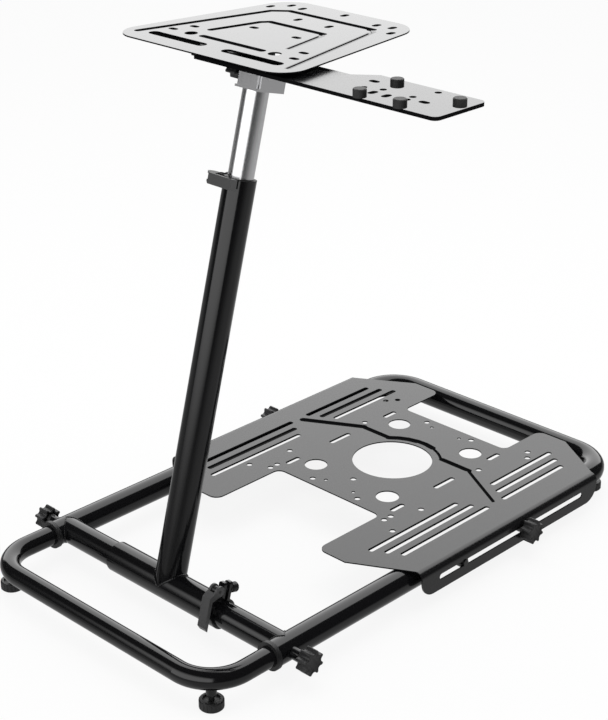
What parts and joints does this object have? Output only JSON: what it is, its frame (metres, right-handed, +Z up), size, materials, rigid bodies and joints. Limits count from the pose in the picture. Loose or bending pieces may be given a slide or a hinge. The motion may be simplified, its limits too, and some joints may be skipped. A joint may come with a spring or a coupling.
{
  "type": "flight stick stand",
  "caption": "Floor stand of black tube with a folded pedal deck, a leaning telescopic post and a level slotted plate for a stick with a side plate.",
  "frame": {"origin": "middle of the box round the whole stand, on the floor under the feet", "axes": "+X to the side that the side plate reaches to, +Y from the front run of the base to its rear run, +Z up"},
  "size_m": [0.6744, 0.9046, 0.7981],
  "materials": {
    "tube_paint": "gloss black paint",
    "plate_paint": "satin black powder coat",
    "chrome": "polished chrome",
    "silver": "satin silver",
    "dark_steel": "satin black",
    "black_plastic": "moulded black plastic",
    "rubber": "matt rubber"
  },
  "bodies": {
    "base": {"rear_frame_tube": "tube_paint", "cross_tube": "tube_paint", "arm_collar_left": "black_plastic", "arm_collar_right": "black_plastic", "rear_foot_left": "black_plastic", "rear_foot_right": "black_plastic", "front_lock_knob_left": "black_plastic", "front_lock_knob_right": "black_plastic", "pedal_knob_left": "black_plastic", "pedal_knob_right": "black_plastic", "deck_guide_pin_left": "dark_steel", "deck_guide_pin_right": "dark_steel"},
    "front_frame": {"front_frame_tube": "tube_paint", "front_foot_left": "black_plastic", "front_foot_right": "black_plastic"},
    "pedal_deck": {"pedal_plate": "plate_paint"},
    "post": {"tilt_sleeve": "tube_paint", "post_tube": "tube_paint", "post_liner": "black_plastic", "tilt_clamp_bolt": "dark_steel", "height_clamp_bolt": "dark_steel"},
    "tilt_lever_arm": {"tilt_lever": "dark_steel"},
    "height_lever_arm": {"height_lever": "dark_steel"},
    "mast": {"mast_tube": "chrome", "head_bracket": "silver", "pivot_bolt": "dark_steel", "tilt_knob": "black_plastic"},
    "top": {"tilt_bracket": "plate_paint", "side_plate": "plate_paint", "bumper_1": "rubber", "bumper_2": "rubber", "bumper_3": "rubber", "bumper_4": "rubber", "plate_spacer_near_left": "rubber", "plate_spacer_near_right": "rubber", "plate_spacer_far_left": "rubber", "plate_spacer_far_right": "rubber", "main_plate": "plate_paint"}
  },
  "joints": [
    {"name": "front_slide", "type": "slide", "parent": "base", "child": "front_frame", "axis": [0, -1, 0], "range_m": [-0.03, 0.12]},
    {"name": "deck_slide", "type": "slide", "parent": "base", "child": "pedal_deck", "axis": [0, 1, 0], "range_m": [-0.12, 0.05]},
    {"name": "post_tilt", "type": "hinge", "parent": "base", "child": "post", "pos_m": [-0.05285, -0.30205, 0.0435], "axis": [1, 0, 0], "range_deg": [-20, 15]},
    {"name": "mast_slide", "type": "slide", "parent": "post", "child": "mast", "axis": [0, 0.2588, 0.9659], "range_m": [-0.1, 0.15]},
    {"name": "plate_tilt", "type": "hinge", "parent": "mast", "child": "top", "pos_m": [-0.05285, -0.11259, 0.75056], "axis": [1, 0, 0], "range_deg": [-15, 15]},
    {"name": "tilt_lever_turn", "type": "hinge", "parent": "post", "child": "tilt_lever_arm", "pos_m": [0.05265, -0.30861, 0.08201], "axis": [-1, 0, 0], "range_deg": [0, 120]},
    {"name": "height_lever_turn", "type": "hinge", "parent": "post", "child": "height_lever_arm", "pos_m": [-0.08835, -0.16768, 0.60796], "axis": [0, -0.2588, -0.9659], "range_deg": [0, 120]}
  ]
}
